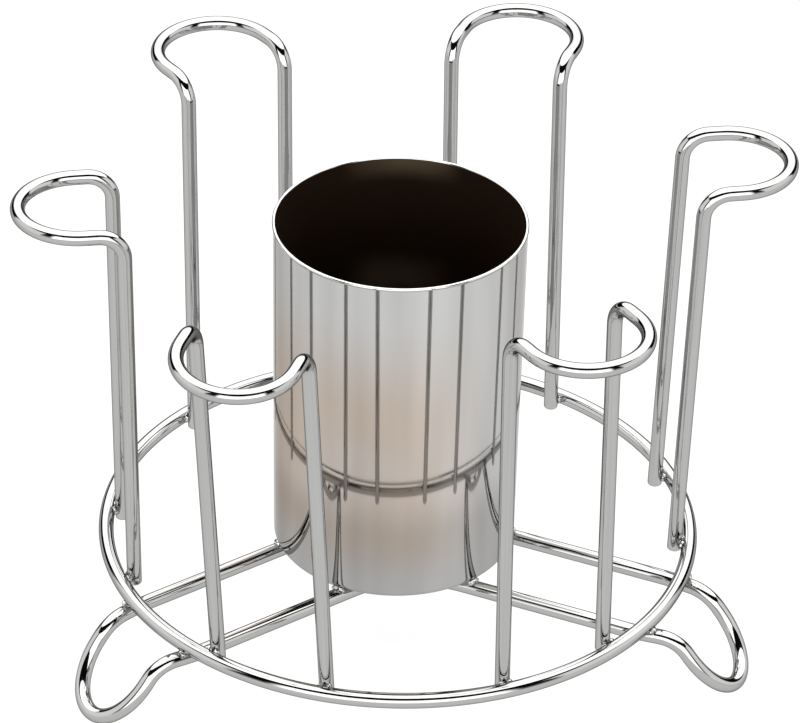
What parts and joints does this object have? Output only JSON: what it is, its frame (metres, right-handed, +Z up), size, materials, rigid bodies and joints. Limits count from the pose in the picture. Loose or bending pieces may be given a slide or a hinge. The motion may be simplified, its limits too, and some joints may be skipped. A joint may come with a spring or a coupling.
{
  "type": "mug tree",
  "caption": "Round chromed wire stand whose bent loops each hold an upturned tumbler, on splayed wire feet, with a polished steel cutlery cup standing in the middle.",
  "frame": {"origin": "on the table plane, under the middle of the whole stand's box; the ring's axis stands 0.7 mm to the left of it and 4.1 mm in front of it", "axes": "+Z up, parallel to the cup's axis, -Y towards the front of the stand, which has no foot of its own, +X to its right"},
  "size_m": [0.2768, 0.2681, 0.1824],
  "materials": {
    "plated_wire": "bright chrome plating on round steel wire",
    "polished_steel": "mirror-polished stainless steel sheet, darker inside"
  },
  "bodies": {
    "root": {"base_ring": "plated_wire", "foot_wire": "plated_wire", "tumbler_loop_right": "plated_wire", "tumbler_loop_back_right": "plated_wire", "tumbler_loop_back_left": "plated_wire", "tumbler_loop_left": "plated_wire", "tumbler_loop_front_left": "plated_wire", "tumbler_loop_front_right": "plated_wire", "cutlery_cup": "polished_steel"}
  },
  "joints": []
}
